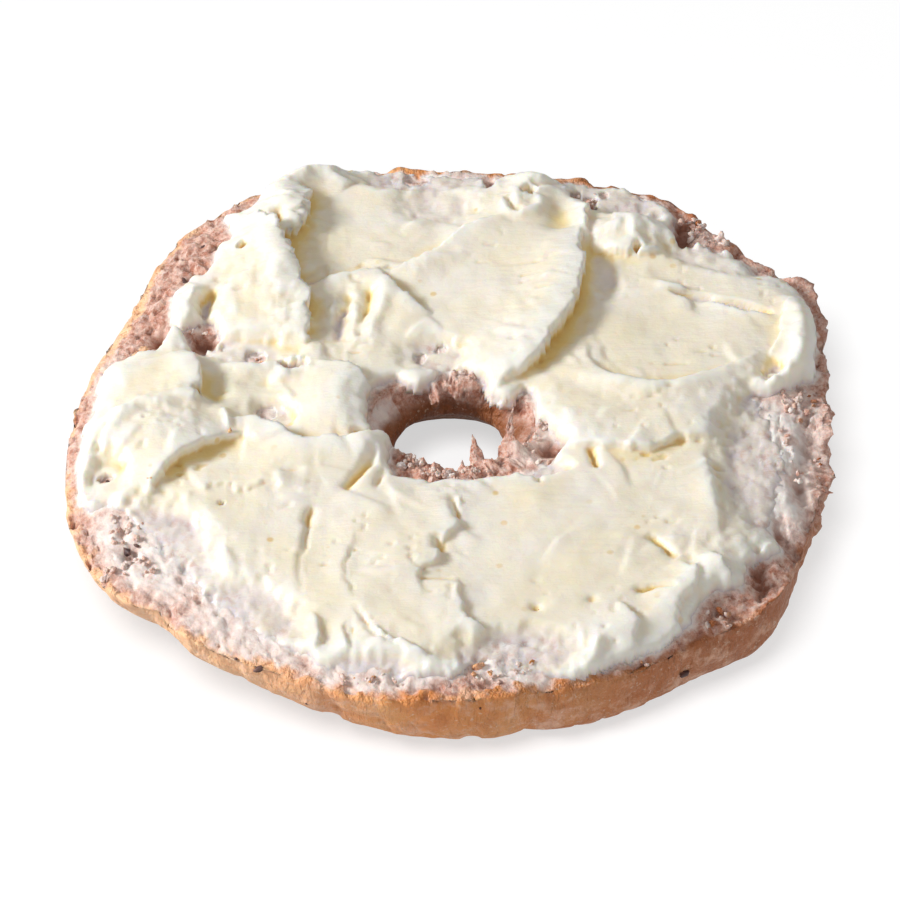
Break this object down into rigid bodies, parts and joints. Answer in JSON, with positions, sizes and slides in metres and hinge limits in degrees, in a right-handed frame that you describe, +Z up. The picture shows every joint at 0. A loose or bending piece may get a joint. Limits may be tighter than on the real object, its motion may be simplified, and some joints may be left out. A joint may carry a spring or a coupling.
{
  "type": "buttered bagel half",
  "caption": "Half of a bagel, cut face up, ring of soft bread with a torn central hole and a thick uneven spread of butter.",
  "frame": {"origin": "on the resting plane, under the middle of the outline", "axes": "+Z up out of the cut face; +X to the right and +Y away from the side with the taller crust"},
  "size_m": [0.1089, 0.1091, 0.0216],
  "materials": {
    "bread": "baked bread: thin pale tan to golden crust, pinkish open crumb with torn edges",
    "butter": "soft pale yellow butter, satin, slightly translucent at thin edges"
  },
  "bodies": {
    "root": {"bread": "bread", "butter": "butter"}
  },
  "joints": []
}
